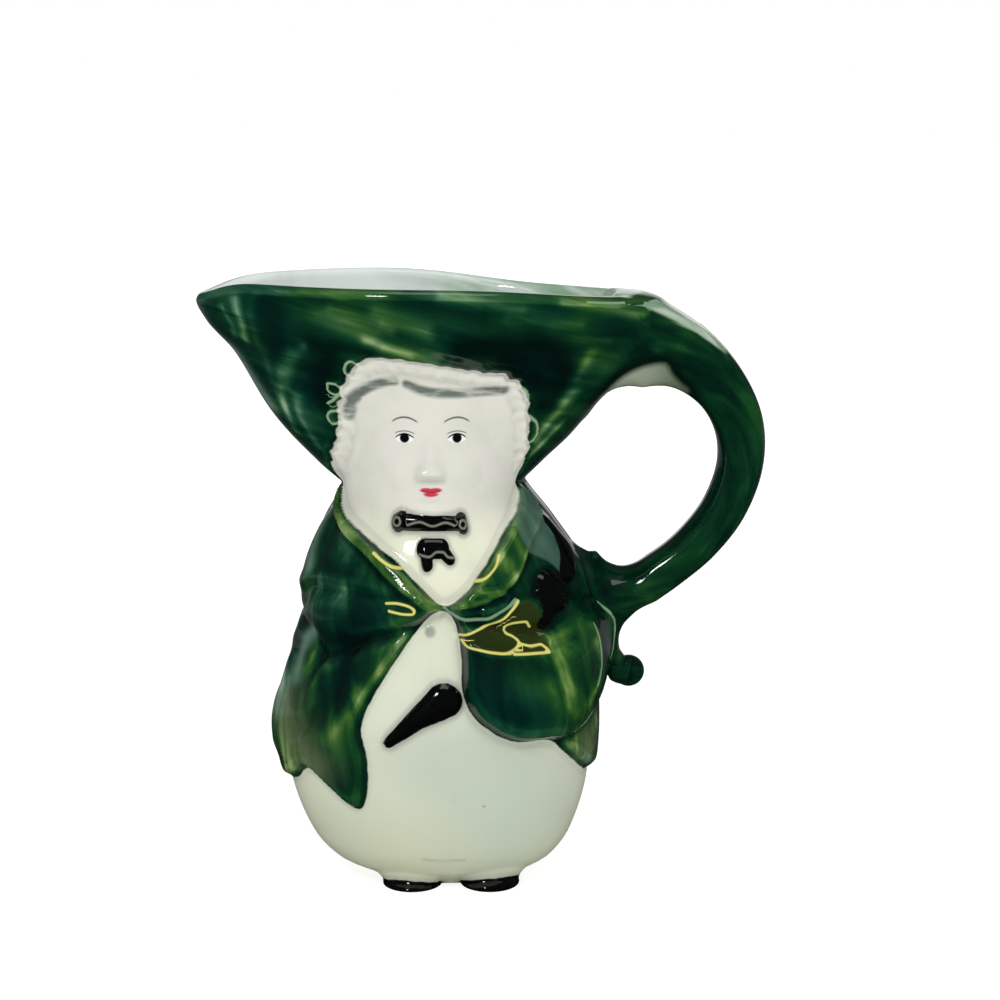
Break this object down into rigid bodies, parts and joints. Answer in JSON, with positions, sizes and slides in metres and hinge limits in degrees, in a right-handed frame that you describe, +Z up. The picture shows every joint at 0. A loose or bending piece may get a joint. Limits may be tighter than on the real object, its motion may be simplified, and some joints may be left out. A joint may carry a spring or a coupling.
{
  "type": "figural creamer",
  "caption": "Small ceramic creamer shaped as a plump standing figure in a long coat, whose cocked hat is the open mouth with a side spout, with a loop handle.",
  "frame": {"origin": "centre of the flat foot, on the surface it stands on", "axes": "+Z up, +X towards the handle, -X towards the spout, -Y the figure's front"},
  "size_m": [0.0996, 0.059, 0.1049],
  "materials": {
    "glazed_ceramic": "high gloss, hand painted under clear glaze"
  },
  "bodies": {
    "root": {"creamer": "glazed_ceramic"}
  },
  "joints": []
}
